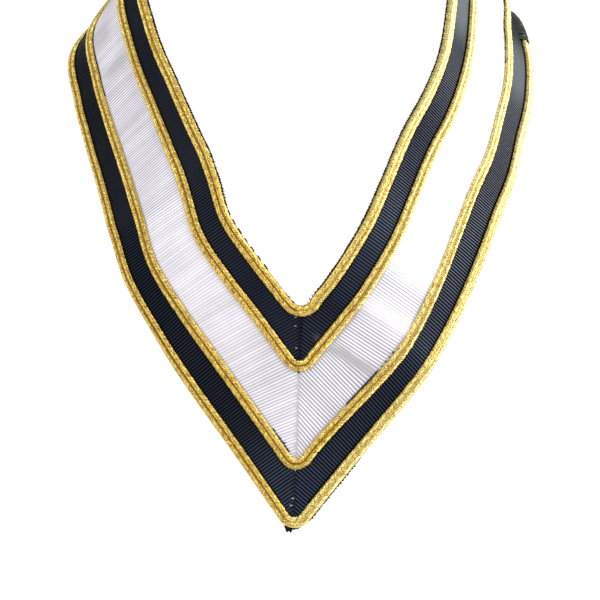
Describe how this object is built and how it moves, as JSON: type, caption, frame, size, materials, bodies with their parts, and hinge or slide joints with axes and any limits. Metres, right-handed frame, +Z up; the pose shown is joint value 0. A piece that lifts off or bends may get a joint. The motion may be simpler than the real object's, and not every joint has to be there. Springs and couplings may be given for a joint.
{
  "type": "regalia collar",
  "caption": "V-shaped ceremonial collar: a wide strap of navy, white and navy grosgrain ribbon edged with gold braid, mitred to a point on the chest and worn round the neck over the shoulders",
  "frame": {"origin": "middle of the strap on the nape, at the underside of its backing, where it lies against the back of the neck", "axes": "+Z up, -Y the way the wearer faces, +X to the right as seen from the front; the point hangs at the lowest Z"},
  "size_m": [0.3718, 0.3118, 0.5217],
  "materials": {
    "backing_cloth": "plain-woven cotton backing cloth, matt black",
    "navy_grosgrain": "moire grosgrain ribbon, very dark navy, soft sheen across the ribs",
    "white_grosgrain": "moire grosgrain ribbon, cool white, soft sheen across the ribs",
    "gold_braid": "two-cord braid of gilt metallic thread, bright and grainy"
  },
  "bodies": {
    "root": {"backing_left": "backing_cloth", "backing_right": "backing_cloth", "inner_ribbon_left": "navy_grosgrain", "inner_ribbon_right": "navy_grosgrain", "centre_ribbon_left": "white_grosgrain", "centre_ribbon_right": "white_grosgrain", "outer_ribbon_left": "navy_grosgrain", "outer_ribbon_right": "navy_grosgrain", "hole_edge_braid": "gold_braid", "inner_seam_braid": "gold_braid", "outer_seam_braid": "gold_braid", "rim_braid": "gold_braid", "point_tab": "backing_cloth"}
  },
  "joints": []
}
